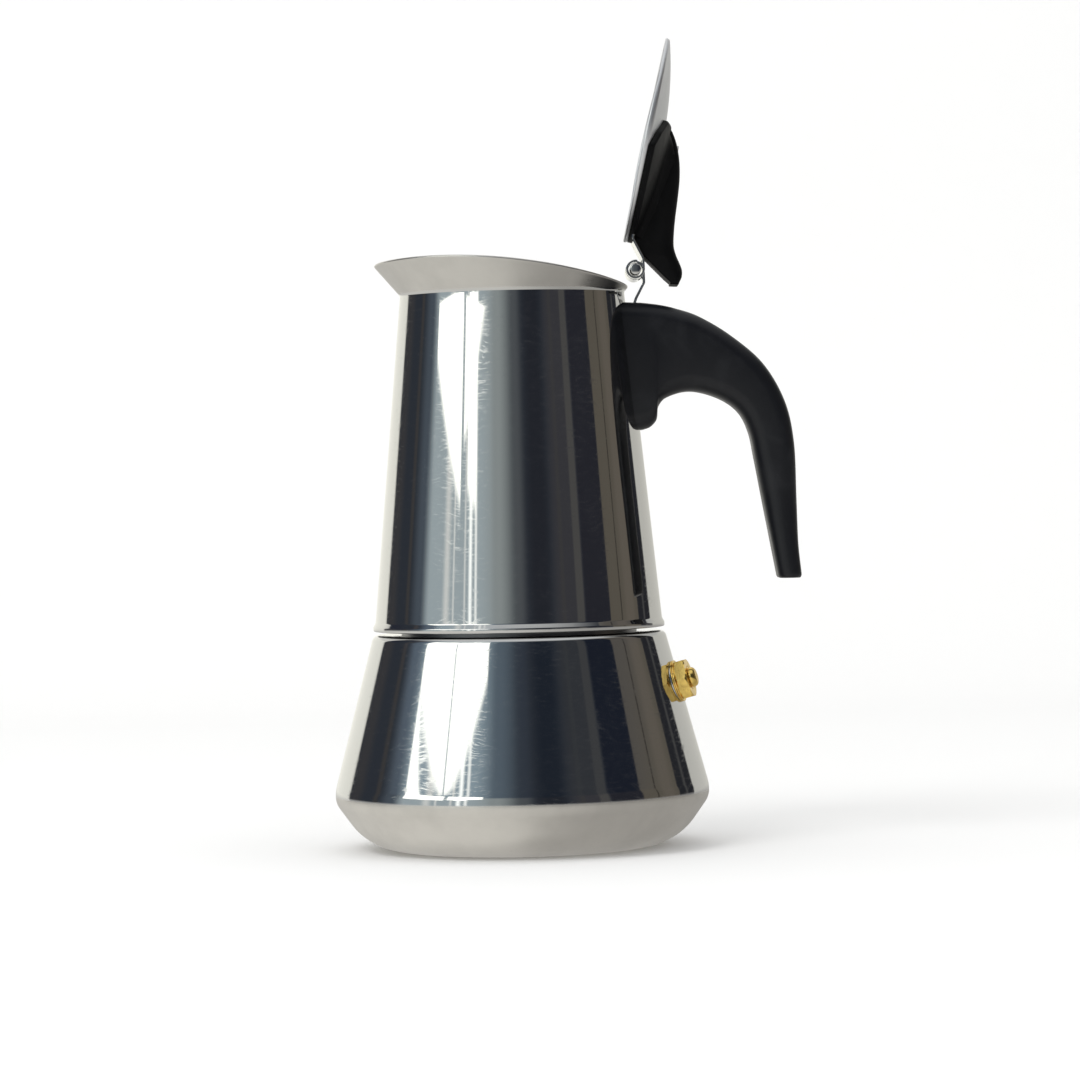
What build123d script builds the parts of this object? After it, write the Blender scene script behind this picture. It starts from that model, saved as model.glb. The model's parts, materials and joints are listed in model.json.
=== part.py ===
from build123d import *
import os
from math import atan2, cos, radians, sin, tan

# A stove-top moka pot in stainless steel. Millimetres. The origin is the centre of the
# flat base, +Z is up, the handle points to +X, and the lid stands open on its stop.

# Sheet and clearances
wall = 1.2
thin_wall = 0.8
weld_gap = 0.05
running_gap = 0.05
soft_gap = 0.3
shaft_gap = 0.1

# Boiler
base_flat_radius = 32.0
boiler_radius = 50.0
pan_bend_inset = 4.0
pan_bend_z = 7.2
pan_side_inset = 1.0
pan_side_z = 11.4
pan_height = 14.7
knee_inset = 0.38
knee_height = 2.8
shoulder_radius = 39.4
boiler_height = 56.0
shoulder_round = 1.5
shoulder_rise = 1.4

# Screw joint between boiler and pot
neck_radius = 31.5
neck_wall = 1.5
neck_height = 12.6
neck_foot_width = 2.5
thread_pitch = 4.0
thread_depth = 1.2
thread_base_width = 1.6
thread_crest_width = 0.8
thread_gap = 0.4
thread_embed = 0.4
thread_start = 2.6
thread_turns = 1.9
collar_thickness = 2.4

# Seal
gasket_lip = 3.5
gasket_thickness = 3.2
plate_inset = 0.6
plate_thickness = 0.8
plate_hole_radius = 0.9
plate_hole_rings = ((6.0, 6), (12.0, 12), (18.0, 18), (23.0, 24))

# Coffee funnel
funnel_rim_inset = 0.3
funnel_rim_thickness = 0.8
funnel_cup_gap = 2.4
funnel_depth = 23.0
funnel_cone_height = 8.0
funnel_tube_radius = 5.0
funnel_tube_clearance = 4.0
sieve_hole_radius = 0.9
sieve_hole_rings = ((8.5, 10), (14.0, 16), (19.5, 22))

# Pot
pot_gap = 1.0
pot_foot_radius = 38.6
pot_bead = 0.4
pot_height = 88.6
waist_radius = 30.1
throat_rise = 2.6
throat_flare = 1.3
flare_rise = 10.4
flare_width = 8.0
rim_arc_radius = 190.0
rim_arc_x = -22.0
rim_arc_rise = 9.8
floor_thickness = 1.0
floor_ledge = 2.4
floor_cone_height = 9.0
column_radius = 6.0
column_height = 50.0
column_wall = 1.0
column_cap_overhang = 1.5
column_window_width = 5.0
column_window_height = 5.0

# Lid, in its own frame: a runs from the rear rim to the front, n is up when it is shut
lid_gap = 1.9
lid_shift = 1.85
lid_rim_rise = 2.75
lid_dome_height = 4.0
lid_side_droop = 1.35
lid_open_angle = 103.0

# Hinge
pin_a = -6.6
pin_n = 3.7
pin_radius = 1.5
pin_head = 0.6
knuckle_radius = 2.6
leaf_thickness = 0.6
middle_knuckle_width = 9.6
outer_knuckle_width = 4.6
knuckle_gap = 0.2
leaf_reach = 11.0
leaf_heel_a = 1.6
leaf_lift = 0.55
leaf_bend = (-3.3, 5.1)

# Knob, in the lid's frame
knob_width = 15.0
knob_heel_a = 1.0
knob_front_a = 33.6
knob_skirt_thickness = 1.6
knob_skirt_inset = 0.6
knob_skirt_corners = ((23.5, 29.0), (29.0, 22.9), (33.0, 15.0))
knob_screw_a = (15.0, 27.0)
knob_screw_radius = 1.5
knob_screw_depth = 4.5
knob_screw_head_radius = 2.8
knob_screw_head_height = 1.4
knob_washer_radius = 3.6
knob_washer_thickness = 0.6

# Handle
handle_width = 19.5
handle_end_width = 16.0
handle_edge = 2.4
handle_reach = 75.0
handle_drop = 2.0
handle_length = 74.5
handle_lug_length = 34.0
bracket_width = 9.6
bracket_thickness = 0.8
bracket_arm_drop = 15.4
bracket_arm_length = 19.0
bracket_bend_drop = 4.0
handle_screw_inset = 13.5
handle_screw_radius = 2.0
handle_screw_length = 7.5
handle_screw_head_radius = 3.2
handle_screw_head_height = 1.8
handle_washer_radius = 3.6
handle_washer_thickness = 0.6

# Safety valve: its plane lies on the flat pad of the boiler wall, and z runs outwards
valve_z = 43.8
valve_turn = -13.0
valve_pad_radius = 6.8
valve_pad_thickness = 2.2
valve_hex_flats = 10.0
valve_hex_height = 3.0
valve_hex_edge = 0.5
valve_washer_radius = 5.6
valve_washer_thickness = 0.9
valve_shank_radius = 4.0
valve_shank_length = 8.5
valve_bore_radius = 3.0
valve_seat_thickness = 2.0
valve_seat_radius = 1.2
valve_disc_thickness = 1.2
valve_stem_radius = 1.4
valve_head_radius = 2.7
valve_head_gap = 0.15
valve_head_height = 1.65
valve_head_edge = 1.3
valve_retainer_thickness = 1.0
valve_seal_thickness = 1.0
valve_nut_flats = 12.0
valve_nut_thickness = 3.0
valve_spring_radius = 2.15
valve_wire_radius = 0.3
valve_spring_turns = 5

# Heights worked out from the above
shoulder_top_z = boiler_height + shoulder_rise
neck_top_z = shoulder_top_z + neck_height
seal_z = neck_top_z + funnel_rim_thickness
floor_z = seal_z + gasket_thickness
pot_foot_z = shoulder_top_z + pot_gap
waist_z = pot_foot_z + pot_height
handle_top_z = waist_z - handle_drop
handle_tip_z = handle_top_z - handle_length
lug_bottom_z = handle_top_z - handle_lug_length
bracket_arm_z = handle_top_z - bracket_arm_drop
handle_screw_x = waist_radius + handle_screw_inset
cone_top_z = floor_z + floor_cone_height
column_top_z = cone_top_z + column_height
funnel_floor_z = neck_top_z - funnel_depth

# Radii and slopes worked out from the above
knee_radius = boiler_radius - knee_inset
neck_bore_radius = neck_radius - neck_wall
collar_root_radius = neck_radius + thread_depth + thread_gap
collar_radius = collar_root_radius + collar_thickness
gasket_radius = collar_root_radius - soft_gap
gasket_bore_radius = neck_bore_radius - gasket_lip
plate_radius = neck_bore_radius - plate_inset
floor_cone_radius = plate_radius - floor_ledge
funnel_cup_radius = neck_bore_radius - funnel_cup_gap
lid_radius = waist_radius - lid_gap
pot_lean = atan2(pot_foot_radius - waist_radius, pot_height)
boiler_lean = atan2(knee_radius - shoulder_radius, boiler_height - pan_height - knee_height)
dome_radius = (lid_radius**2 + lid_dome_height**2) / (2 * lid_dome_height)
droop_radius = (lid_radius**2 + lid_side_droop**2) / (2 * lid_side_droop)


def pot_radius(z):
    """Outside radius of the pot's tapered wall at a height."""
    return pot_foot_radius - (z - pot_foot_z) * tan(pot_lean)


def boiler_wall_radius(z):
    """Outside radius of the boiler's cone at a height."""
    return shoulder_radius + (boiler_height - z) * tan(boiler_lean)


def dome_rise(radius):
    """Height of the lid's outer dome above its rim, at a distance from its centre."""
    return (dome_radius**2 - radius**2) ** 0.5 - dome_radius + lid_dome_height


# The pin, and the lid's frame turned open about it
pin_x = lid_radius - lid_shift - pin_a
pin_z = waist_z + lid_rim_rise + pin_n
opening = radians(lid_open_angle)
lid_plane = Plane(
    origin=(
        pin_x + pin_a * cos(opening) - pin_n * sin(opening),
        0,
        pin_z - pin_a * sin(opening) - pin_n * cos(opening),
    ),
    x_dir=(-cos(opening), 0, sin(opening)),
    z_dir=(sin(opening), 0, cos(opening)),
)
lid_side = Plane(origin=lid_plane.origin, x_dir=lid_plane.x_dir, z_dir=(0, 1, 0))
dome_axis = Axis(lid_side.from_local_coords((lid_radius, 0, 0)), lid_plane.z_dir)

# The safety valve's plane, square to the boiler's wall
valve_turn_rad = radians(valve_turn)
valve_radius = boiler_wall_radius(valve_z)
valve_plane = Plane(
    origin=(valve_radius * cos(valve_turn_rad), valve_radius * sin(valve_turn_rad), valve_z),
    x_dir=(-sin(valve_turn_rad), cos(valve_turn_rad), 0),
    z_dir=(
        cos(boiler_lean) * cos(valve_turn_rad),
        cos(boiler_lean) * sin(valve_turn_rad),
        sin(boiler_lean),
    ),
)


def ring(inner, outer, low, high, plane=Plane.XY, mode=Mode.ADD):
    """A flat ring or disc between two heights, added to the part being built."""
    with BuildSketch(plane.offset(low)) as outline:
        Circle(outer)
        if inner > 0:
            Circle(inner, mode=Mode.SUBTRACT)
    extrude(outline.sketch, amount=high - low, mode=mode)


def hexagon(flats, low, high, plane):
    """A hexagonal prism between two heights, added to the part being built."""
    with BuildSketch(plane.offset(low)) as outline:
        RegularPolygon(flats / 2, 6, major_radius=False)
    extrude(outline.sketch, amount=high - low)


def profile(*points):
    """Revolve a closed outline of (radius, height) points about the pot's axis."""
    with BuildSketch(Plane.XZ) as outline:
        with BuildLine():
            Polyline(*points, close=True)
        make_face()
    revolve(outline.sketch, axis=Axis.Z)


def ridge(root, crest, start_z, turns):
    """One trapezoid screw ridge, wound on a cylinder and added to the part being built."""
    inside = thread_embed if crest > root else -thread_embed
    half_base = thread_base_width / 2
    half_crest = thread_crest_width / 2
    path = Helix(pitch=thread_pitch, height=thread_pitch * turns, radius=root, center=(0, 0, start_z))
    with BuildSketch(Plane.XZ) as section:
        with BuildLine():
            Polyline(
                (root - inside, start_z - half_base),
                (root, start_z - half_base),
                (crest, start_z - half_crest),
                (crest, start_z + half_crest),
                (root, start_z + half_base),
                (root - inside, start_z + half_base),
                close=True,
            )
        make_face()
    sweep(section.sketch, path=path, is_frenet=True)


def punch(rings, radius, low, high):
    """Rings of small round holes through a disc on the pot's axis."""
    for ring_radius, count in rings:
        with BuildSketch(Plane.XY.offset(low)) as holes:
            with PolarLocations(ring_radius, count):
                Circle(radius)
        extrude(holes.sketch, amount=high - low, mode=Mode.SUBTRACT)


def save(piece, name):
    piece.part.label = name
    export_step(piece.part, f"parts/{name}.step")


os.makedirs("parts", exist_ok=True)

# The bottom pan: a flat floor, a wide bend, a short side and a tight rim
with BuildPart() as boiler_bottom:
    with BuildSketch(Plane.XZ):
        with BuildLine():
            base = Line((0, 0), (base_flat_radius, 0))
            bend = TangentArc(base @ 1, (boiler_radius - pan_bend_inset, pan_bend_z), tangent=base % 1)
            side = Line(bend @ 1, (boiler_radius - pan_side_inset, pan_side_z))
            TangentArc(side @ 1, (boiler_radius, pan_height), tangent=side % 1)
            offset(amount=wall, side=Side.LEFT)
        make_face()
    revolve(axis=Axis.Z)
save(boiler_bottom, "boiler_bottom")

# The boiler's cone, with its shoulder and the flat pad that the safety valve sits on
with BuildPart() as boiler_shell:
    with BuildSketch(Plane.XZ):
        with BuildLine():
            knee = TangentArc(
                (boiler_radius, pan_height), (knee_radius, pan_height + knee_height), tangent=(0, 1)
            )
            cone = Line(knee @ 1, (shoulder_radius, boiler_height))
            shoulder = TangentArc(
                cone @ 1, (shoulder_radius - shoulder_round, shoulder_top_z), tangent=cone % 1
            )
            Line(shoulder @ 1, (neck_radius, shoulder_top_z))
            offset(amount=wall, side=Side.LEFT)
        make_face()
    revolve(axis=Axis.Z)
    ring(0, valve_pad_radius, -valve_pad_thickness, 0, valve_plane)
    ring(0, valve_shank_radius + shaft_gap, -valve_shank_length, 1, valve_plane, Mode.SUBTRACT)
save(boiler_shell, "boiler_shell")

# The neck: a ring welded under the shoulder, with the outside thread
with BuildPart() as boiler_neck:
    ring(neck_bore_radius, neck_radius, shoulder_top_z - wall, neck_top_z)
    ring(
        neck_bore_radius,
        neck_radius + neck_foot_width,
        shoulder_top_z - 2 * wall,
        shoulder_top_z - wall,
    )
    ridge(neck_radius, neck_radius + thread_depth, shoulder_top_z + thread_start, thread_turns)
save(boiler_neck, "boiler_neck")

# The coffee funnel: a cup that hangs by its rim, its sieve, and the tube down to the water
with BuildPart() as funnel_cup:
    cup_inner = funnel_cup_radius - thin_wall
    tube_bore = funnel_tube_radius - thin_wall
    cone_low_z = funnel_floor_z - funnel_cone_height
    profile(
        (neck_radius - funnel_rim_inset, neck_top_z),
        (neck_radius - funnel_rim_inset, seal_z),
        (cup_inner, seal_z),
        (cup_inner, funnel_floor_z),
        (funnel_tube_radius, cone_low_z + thin_wall),
        (funnel_tube_radius, cone_low_z),
        (funnel_cup_radius, funnel_floor_z - thin_wall / 2),
        (funnel_cup_radius, neck_top_z),
    )
save(funnel_cup, "funnel_cup")

with BuildPart() as funnel_sieve:
    ring(0, cup_inner - weld_gap, funnel_floor_z, funnel_floor_z + plate_thickness)
    punch(sieve_hole_rings, sieve_hole_radius, funnel_floor_z, funnel_floor_z + plate_thickness)
save(funnel_sieve, "funnel_sieve")

with BuildPart() as funnel_tube:
    ring(tube_bore, funnel_tube_radius - weld_gap, wall + funnel_tube_clearance, cone_low_z + thin_wall)
save(funnel_tube, "funnel_tube")

# The gasket, with a step in its upper edge that holds the filter plate
with BuildPart() as gasket:
    profile(
        (gasket_bore_radius, seal_z),
        (gasket_radius, seal_z),
        (gasket_radius, floor_z),
        (plate_radius + weld_gap, floor_z),
        (plate_radius + weld_gap, floor_z - plate_thickness),
        (gasket_bore_radius, floor_z - plate_thickness),
    )
save(gasket, "gasket")

with BuildPart() as filter_plate:
    ring(0, plate_radius, floor_z - plate_thickness, floor_z)
    punch(plate_hole_rings, plate_hole_radius, floor_z - plate_thickness, floor_z)
save(filter_plate, "filter_plate")

# The pot: a tapered wall with a beaded foot and a flared rim, cut to a long arc
with BuildPart() as pot_shell:
    with BuildSketch(Plane.XZ):
        with BuildLine():
            bead_radius = pot_foot_radius + pot_bead
            bead = Line((bead_radius, pot_foot_z), (bead_radius, pot_foot_z + wall))
            taper = Line((pot_radius(pot_foot_z + 2 * wall), pot_foot_z + 2 * wall), (waist_radius, waist_z))
            Line(bead @ 1, taper @ 0)
            throat = TangentArc(
                taper @ 1, (waist_radius + throat_flare, waist_z + throat_rise), tangent=taper % 1
            )
            Line(throat @ 1, (waist_radius + flare_width, waist_z + flare_rise))
            offset(amount=thin_wall, side=Side.LEFT)
        make_face()
    revolve(axis=Axis.Z)
    with BuildSketch(Plane.XZ):
        with Locations((rim_arc_x, waist_z + rim_arc_rise - rim_arc_radius)):
            Circle(rim_arc_radius)
    extrude(amount=boiler_radius, both=True, mode=Mode.INTERSECT)
save(pot_shell, "pot_shell")

# The pot's floor: a flat ledge over the gasket and a cone that gathers the coffee
with BuildPart() as pot_floor:
    floor_radius = pot_radius(floor_z + floor_thickness) - thin_wall / cos(pot_lean) - weld_gap
    cone_step = floor_thickness + weld_gap
    profile(
        (floor_cone_radius, floor_z),
        (floor_radius, floor_z),
        (floor_radius, floor_z + floor_thickness),
        (floor_cone_radius + floor_thickness / 2, floor_z + floor_thickness),
        (column_radius + cone_step, cone_top_z),
        (column_radius + weld_gap, cone_top_z),
        (column_radius + weld_gap, cone_top_z - floor_thickness),
    )
save(pot_floor, "pot_floor")

# The collar: the ring in the pot's foot that carries the inside thread
with BuildPart() as pot_collar:
    foot_inner_radius = pot_radius(pot_foot_z + wall) - thin_wall / cos(pot_lean) - weld_gap
    ring(collar_root_radius, collar_radius, pot_foot_z, floor_z)
    ring(collar_root_radius, foot_inner_radius, pot_foot_z, pot_foot_z + wall)
    ridge(
        collar_root_radius,
        collar_root_radius - thread_depth,
        shoulder_top_z + thread_start + thread_pitch / 2,
        thread_turns,
    )
save(pot_collar, "pot_collar")

# The column, with two windows under its cap
with BuildPart() as column:
    ring(column_radius - column_wall, column_radius, cone_top_z - floor_thickness, column_top_z)
    with BuildSketch(Plane.XZ):
        with Locations((0, column_top_z - column_window_height)):
            Rectangle(column_window_width, column_window_height)
    extrude(amount=2 * column_radius, both=True, mode=Mode.SUBTRACT)
save(column, "column")

with BuildPart() as column_cap:
    cap_radius = column_radius + column_cap_overhang
    with BuildSketch(Plane.XZ):
        with BuildLine():
            brim = Line((0, column_top_z), (cap_radius, column_top_z))
            lip = Line(brim @ 1, (cap_radius, column_top_z + wall))
            JernArc(lip @ 1, lip % 1, cap_radius, 90)
            Line((0, column_top_z + wall + cap_radius), (0, column_top_z))
        make_face()
    revolve(axis=Axis.Z)
    spigot_radius = column_radius - column_wall - shaft_gap
    ring(0, spigot_radius, column_top_z - wall, column_top_z)
save(column_cap, "column_cap")


def bracket_route(extra):
    """Points down the middle of the handle's steel strip, from its arm to the hinge pin."""
    wall_side = bracket_thickness / 2 + weld_gap + extra
    return (
        (waist_radius + bracket_arm_length, bracket_arm_z),
        (pot_radius(bracket_arm_z) + wall_side, bracket_arm_z),
        (pot_radius(handle_top_z - bracket_bend_drop) + wall_side, handle_top_z - bracket_bend_drop),
        (pin_x + 0.1, handle_top_z + 0.8),
        (pin_x + knuckle_radius - bracket_thickness, pin_z - knuckle_radius),
        (pin_x + knuckle_radius - bracket_thickness / 2, pin_z),
    )


# The steel strip: an arm in the handle, a back on the pot's wall and a knuckle on the pin
with BuildPart() as handle_bracket:
    with BuildSketch(Plane.XZ):
        with BuildLine() as strip:
            Polyline(*bracket_route(0))
        trace(line_width=bracket_thickness)
        with Locations((pin_x, pin_z)):
            Circle(knuckle_radius)
            Circle(pin_radius, mode=Mode.SUBTRACT)
    extrude(amount=bracket_width / 2, both=True)
    with BuildSketch(Plane.XY.offset(bracket_arm_z - bracket_thickness)):
        with Locations((handle_screw_x, 0)):
            Circle(handle_screw_radius + weld_gap)
    extrude(amount=2 * bracket_thickness, mode=Mode.SUBTRACT)
save(handle_bracket, "handle_bracket")

# The hinge pin runs through the strip's knuckle and the lid leaf's two
with BuildPart() as hinge_pin:
    pin_half_length = middle_knuckle_width / 2 + knuckle_gap + outer_knuckle_width + pin_head
    with BuildSketch(Plane.XZ):
        with Locations((pin_x, pin_z)):
            Circle(pin_radius)
    extrude(amount=pin_half_length, both=True)
save(hinge_pin, "hinge_pin")

# The handle: a hooked outline, narrower towards its tip, cut to the pot's wall
with BuildPart() as handle:
    with BuildSketch(Plane.XZ):
        with BuildLine():
            crown = Spline(
                (waist_radius - 2, handle_top_z),
                (waist_radius + 8, handle_top_z - 0.9),
                (waist_radius + 19.7, handle_top_z - 4.3),
                (waist_radius + 30, handle_top_z - 10.8),
                (handle_reach - 5.4, handle_top_z - 21.9),
                (handle_reach - 1.4, handle_top_z - 32),
                (handle_reach - 0.2, handle_top_z - 46),
                (handle_reach + 0.8, handle_tip_z),
                tangents=((1, 0), (0.1, -1)),
            )
            tip = Line(crown @ 1, (handle_reach - 5.6, handle_tip_z))
            palm = Spline(
                tip @ 1,
                (handle_reach - 8.9, handle_tip_z + 19.5),
                (handle_reach - 12.1, handle_tip_z + 37.5),
                (handle_reach - 15.3, handle_tip_z + 44.9),
                (handle_reach - 19.4, handle_tip_z + 48),
                (waist_radius + 16.8, handle_tip_z + 50.4),
                (waist_radius + 10.4, handle_tip_z + 48.8),
                (waist_radius + 8, lug_bottom_z + 3.2),
                tangents=((-0.15, 1), (-0.1, -1)),
            )
            heel = Spline(
                palm @ 1,
                (waist_radius + 5.6, lug_bottom_z + 0.3),
                (waist_radius + 1.4, lug_bottom_z),
                tangents=((-0.1, -1), (-1, 0)),
            )
            Polyline(heel @ 1, (waist_radius - 2, lug_bottom_z), crown @ 0)
        make_face()
    extrude(amount=handle_width / 2, both=True)
    with BuildSketch(Plane.XY.offset(handle_tip_z - 1)):
        with BuildLine():
            Polyline(
                (waist_radius - 3, -handle_width / 2),
                (handle_reach + 2, -handle_end_width / 2),
                (handle_reach + 2, handle_end_width / 2),
                (waist_radius - 3, handle_width / 2),
                close=True,
            )
        make_face()
    extrude(amount=handle_length + 2, mode=Mode.INTERSECT)
    sides = handle.edges().filter_by(lambda edge: abs(edge.center().Y) > handle_edge)
    fillet(sides.sort_by(SortBy.LENGTH)[-2:], radius=handle_edge)
    with BuildSketch(Plane.XZ):
        with BuildLine():
            Polyline(
                (0, lug_bottom_z - 1),
                (pot_radius(lug_bottom_z - 1) + weld_gap, lug_bottom_z - 1),
                (pot_radius(handle_top_z + 1) + weld_gap, handle_top_z + 1),
                (0, handle_top_z + 1),
                close=True,
            )
        make_face()
    revolve(axis=Axis.Z, mode=Mode.SUBTRACT)
    with BuildSketch(Plane.XZ):
        with BuildLine():
            arm, corner, back, bend_point = bracket_route(bracket_thickness / 2 + shaft_gap)[:4]
            arm_rise = bracket_thickness / 2 + shaft_gap
            Polyline(
                (waist_radius - 1, bracket_arm_z - arm_rise),
                (arm[0] + shaft_gap, bracket_arm_z - arm_rise),
                (arm[0] + shaft_gap, bracket_arm_z + arm_rise),
                (corner[0], bracket_arm_z + arm_rise),
                back,
                (bend_point[0] + bracket_thickness, handle_top_z + 1),
                (waist_radius - 1, handle_top_z + 1),
                close=True,
            )
        make_face()
    extrude(amount=bracket_width / 2 + shaft_gap, both=True, mode=Mode.SUBTRACT)
    screw_head_z = bracket_arm_z - handle_screw_length + 2 * bracket_thickness
    with BuildSketch(Plane.XY.offset(screw_head_z)):
        with Locations((handle_screw_x, 0)):
            Circle(handle_screw_radius + shaft_gap)
    extrude(amount=handle_screw_length + weld_gap, mode=Mode.SUBTRACT)
    with BuildSketch(Plane.XY.offset(screw_head_z)):
        with Locations((handle_screw_x, 0)):
            Circle(handle_washer_radius + shaft_gap)
    extrude(amount=-handle_length, mode=Mode.SUBTRACT)
save(handle, "handle")

# The screw that holds the handle to its strip from below, and its washer
screw_axis = Plane((handle_screw_x, 0, screw_head_z))
with BuildPart() as handle_washer:
    ring(handle_screw_radius + shaft_gap, handle_washer_radius, -handle_washer_thickness, 0, screw_axis)
save(handle_washer, "handle_washer")

with BuildPart() as handle_screw:
    head_top = -handle_washer_thickness
    ring(0, handle_screw_radius, head_top, handle_screw_length - 0.5, screw_axis)
    ring(0, handle_screw_head_radius, head_top - handle_screw_head_height, head_top, screw_axis)
    with BuildSketch(screw_axis.offset(head_top - handle_screw_head_height)):
        Rectangle(handle_screw_head_radius * 1.5, thin_wall)
    extrude(amount=thin_wall, mode=Mode.SUBTRACT)
save(handle_screw, "handle_screw")

# The lid: a shallow dome whose rim dips at the sides to follow the pot's rim
with BuildPart() as lid_shell:
    with BuildSketch(lid_side):
        with BuildLine():
            top = RadiusArc((lid_radius, lid_dome_height), (0, 0), -dome_radius)
            Line(top @ 1, (0, -lid_side_droop))
            offset(amount=thin_wall, side=Side.LEFT)
        make_face()
    revolve(axis=dome_axis)
    with BuildSketch(lid_side):
        with Locations((lid_radius, droop_radius - lid_side_droop)):
            Circle(droop_radius)
    extrude(amount=lid_radius + 1, both=True, mode=Mode.INTERSECT)
    for screw_a in knob_screw_a:
        hole_plane = Plane(lid_side.from_local_coords((screw_a, 0, 0)), z_dir=lid_plane.z_dir)
        ring(0, knob_screw_radius + shaft_gap, 0, 2 * lid_dome_height, hole_plane, Mode.SUBTRACT)
save(lid_shell, "lid_shell")

# The lid's hinge leaf: a strip on the dome that rises and curls round the pin at each side
leaf_front = (leaf_reach, dome_rise(lid_radius - leaf_reach) + leaf_lift)
leaf_heel = (leaf_heel_a, dome_rise(lid_radius - leaf_heel_a) + leaf_lift)
leaf_half_width = middle_knuckle_width / 2 + knuckle_gap + outer_knuckle_width
with BuildPart() as lid_leaf:
    with BuildSketch(lid_side):
        with BuildLine():
            Polyline(
                leaf_front,
                leaf_heel,
                leaf_bend,
                (pin_a, pin_n + knuckle_radius - leaf_thickness / 2),
            )
        trace(line_width=leaf_thickness)
        with Locations((pin_a, pin_n)):
            Circle(knuckle_radius)
            Circle(pin_radius + running_gap, mode=Mode.SUBTRACT)
    extrude(amount=leaf_half_width, both=True)
    with BuildSketch(lid_side):
        with Locations((pin_a, pin_n)):
            Circle(knuckle_radius + soft_gap)
    extrude(amount=middle_knuckle_width / 2 + knuckle_gap, both=True, mode=Mode.SUBTRACT)
save(lid_leaf, "lid_leaf")

# The knob's skirt: a shell over the rear of the dome, cut to a blunt front
with BuildPart() as knob_skirt:
    with BuildSketch(lid_side):
        with BuildLine():
            skirt_rim_n = dome_rise(lid_radius - knob_skirt_inset) + knob_skirt_thickness
            skirt = RadiusArc(
                (lid_radius, lid_dome_height + knob_skirt_thickness),
                (knob_skirt_inset, skirt_rim_n),
                -dome_radius,
            )
            Polyline(skirt @ 1, (knob_skirt_inset, 0), (lid_radius, 0), skirt @ 0)
        make_face()
    revolve(axis=dome_axis)
    with BuildSketch(lid_plane):
        with BuildLine():
            far_side = knob_skirt_corners[0][1]
            Polyline(
                (-1, -far_side),
                *[(a, -y) for a, y in knob_skirt_corners],
                *reversed(knob_skirt_corners),
                (-1, far_side),
                close=True,
            )
        make_face()
    extrude(amount=2 * lid_dome_height, mode=Mode.INTERSECT)

# The knob: a moulded fin on its skirt, which sits on the dome and over the leaf
with BuildPart() as lid_knob:
    add(knob_skirt.part)
    with BuildSketch(lid_side):
        with BuildLine():
            heel_edge = Polyline(
                (knob_heel_a, 0),
                (knob_heel_a - 2.5, 3.4),
                (knob_heel_a - 9, 13.4),
                (knob_heel_a - 8.2, 16.3),
                (knob_heel_a - 5, 16),
            )
            crest = Spline(
                heel_edge @ 1,
                (knob_heel_a - 1.9, 13.9),
                (knob_heel_a + 1.8, 12.2),
                (knob_front_a - 21.8, 11.1),
                (knob_front_a - 11.8, 9.95),
                (knob_front_a - 4.7, 7.5),
                (knob_front_a, 2.2),
                tangents=((0.9, -0.4), (0.05, -1)),
            )
            Polyline(crest @ 1, (knob_front_a, 0), (knob_heel_a, 0))
        make_face()
    extrude(amount=knob_width / 2, both=True)
    with BuildSketch(lid_side):
        with BuildLine():
            under = RadiusArc((lid_radius, lid_dome_height + weld_gap), (0, weld_gap), -dome_radius)
            Polyline(under @ 1, (0, -1), (lid_radius, -1), under @ 0)
        make_face()
    revolve(axis=dome_axis, mode=Mode.SUBTRACT)
    with BuildSketch(lid_side):
        leaf_top = leaf_thickness / 2 + 2 * shaft_gap
        with BuildLine():
            Polyline(
                (leaf_reach + 2 * shaft_gap, -1),
                (leaf_reach + 2 * shaft_gap, leaf_front[1] + leaf_top),
                (leaf_heel[0] + leaf_top / 4, leaf_heel[1] + leaf_top),
                (leaf_bend[0] + leaf_top / 4, leaf_bend[1] + leaf_top),
                (pin_a - knuckle_radius, pin_n + knuckle_radius + weld_gap),
                (pin_a - knuckle_radius, -1),
                close=True,
            )
        make_face()
    extrude(amount=leaf_half_width + 2 * shaft_gap, both=True, mode=Mode.SUBTRACT)
    for screw_a in knob_screw_a:
        hole_plane = Plane(lid_side.from_local_coords((screw_a, 0, 0)), z_dir=lid_plane.z_dir)
        hole_top = dome_rise(lid_radius - screw_a) + knob_screw_depth + weld_gap
        ring(0, knob_screw_radius + weld_gap, 0, hole_top, hole_plane, Mode.SUBTRACT)
save(lid_knob, "lid_knob")


def washer_top(screw_a):
    """Height in the lid's frame where a flat washer meets the inside of the dome."""
    return dome_rise(abs(lid_radius - screw_a) + knob_washer_radius) - thin_wall


# Two screws hold the knob from inside the lid, each on its washer
with BuildPart() as knob_washers:
    for screw_a in knob_screw_a:
        hole_plane = Plane(lid_side.from_local_coords((screw_a, 0, 0)), z_dir=lid_plane.z_dir)
        top_n = washer_top(screw_a)
        washer_bore = knob_screw_radius + shaft_gap
        ring(washer_bore, knob_washer_radius, top_n - knob_washer_thickness, top_n, hole_plane)
save(knob_washers, "knob_washers")

with BuildPart() as knob_screws:
    for screw_a in knob_screw_a:
        hole_plane = Plane(lid_side.from_local_coords((screw_a, 0, 0)), z_dir=lid_plane.z_dir)
        seat_n = washer_top(screw_a) - knob_washer_thickness
        tip_n = dome_rise(lid_radius - screw_a) + knob_screw_depth
        ring(0, knob_screw_radius, seat_n, tip_n, hole_plane)
        ring(0, knob_screw_head_radius, seat_n - knob_screw_head_height, seat_n, hole_plane)
        with BuildSketch(hole_plane.offset(seat_n - knob_screw_head_height)):
            Rectangle(knob_screw_head_radius * 1.5, thin_wall)
            Rectangle(thin_wall, knob_screw_head_radius * 1.5)
        extrude(amount=thin_wall, mode=Mode.SUBTRACT)
save(knob_screws, "knob_screws")

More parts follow.
